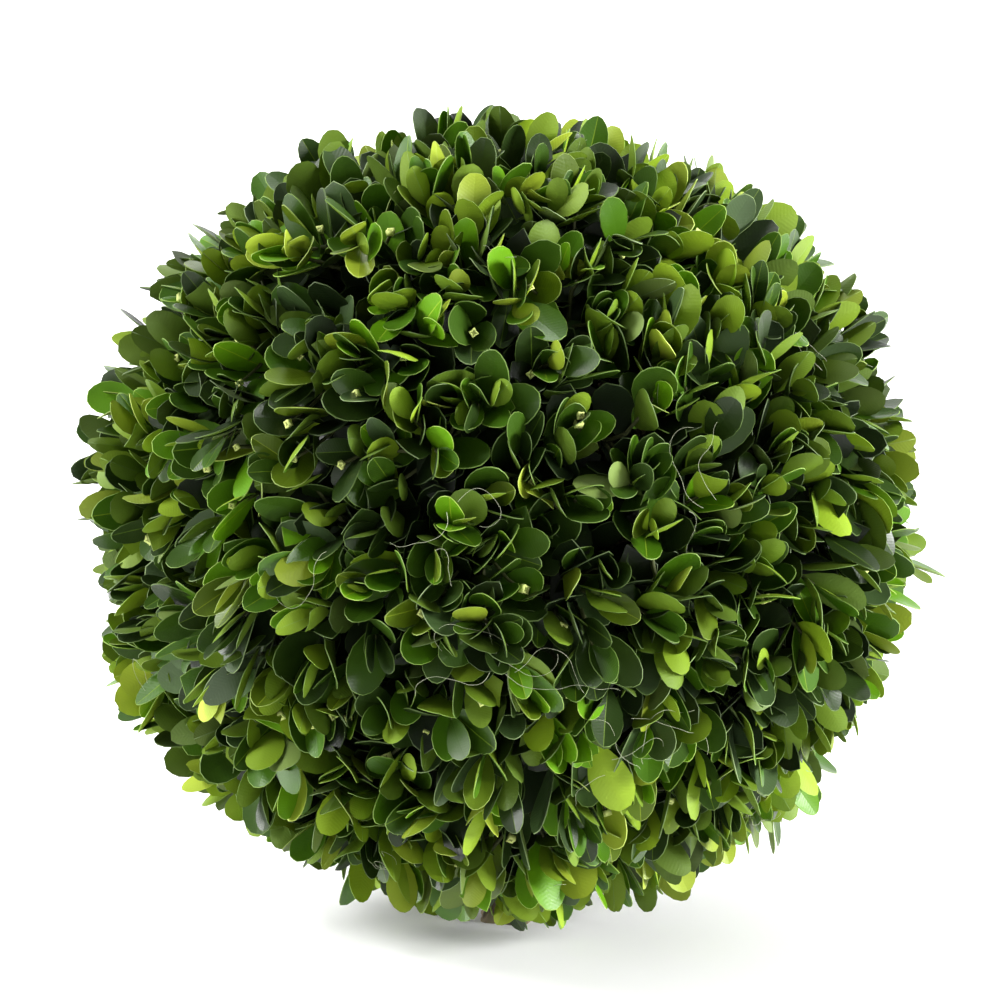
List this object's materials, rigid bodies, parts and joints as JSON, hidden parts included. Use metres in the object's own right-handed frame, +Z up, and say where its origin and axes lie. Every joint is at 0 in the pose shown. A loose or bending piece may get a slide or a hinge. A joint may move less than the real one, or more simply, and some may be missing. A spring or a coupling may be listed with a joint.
{
  "type": "box topiary ball",
  "caption": "Small clipped box ball: dense evergreen topiary sphere of small leathery leaves on a short woody stem hidden inside it.",
  "frame": {"origin": "middle of the stem's flat cut, at ground level", "axes": "+Z up the plant, -Y towards the viewer in front of it, +X to that viewer's right"},
  "size_m": [0.2624, 0.2542, 0.2533],
  "materials": {
    "bark": "rough greyish brown bark",
    "foliage": "glossy deep green leaves with paler edges and yellow-green undersides"
  },
  "bodies": {
    "root": {"stem": "bark", "clipped_ball": "foliage"}
  },
  "joints": []
}
